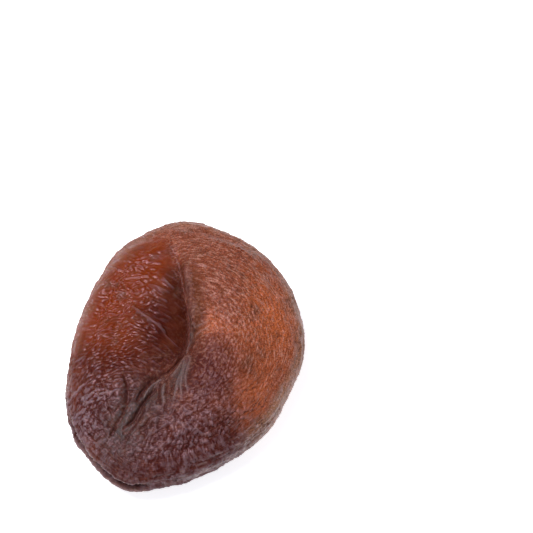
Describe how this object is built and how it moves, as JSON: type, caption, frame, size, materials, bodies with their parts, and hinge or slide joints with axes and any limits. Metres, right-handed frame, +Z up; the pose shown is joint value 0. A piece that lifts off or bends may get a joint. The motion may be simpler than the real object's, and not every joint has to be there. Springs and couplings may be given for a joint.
{
  "type": "dried apricot",
  "caption": "Whole dried apricot, stoned and unsulphured, with a deep crease between two lobes, folded skin and a closed slit in the rim, lying flat.",
  "frame": {"origin": "on the resting face, under the middle of the fruit's plan", "axes": "+Z up from the flat spot, +Y along the fruit's length from the slit end to the crease's shallow end, +X across it towards the higher lobe"},
  "size_m": [0.0324, 0.039, 0.0111],
  "materials": {
    "dried_skin": "dried fruit skin, finely wrinkled, satin with glossy crests and a thin grey bloom"
  },
  "bodies": {
    "root": {"apricot": "dried_skin"}
  },
  "joints": []
}
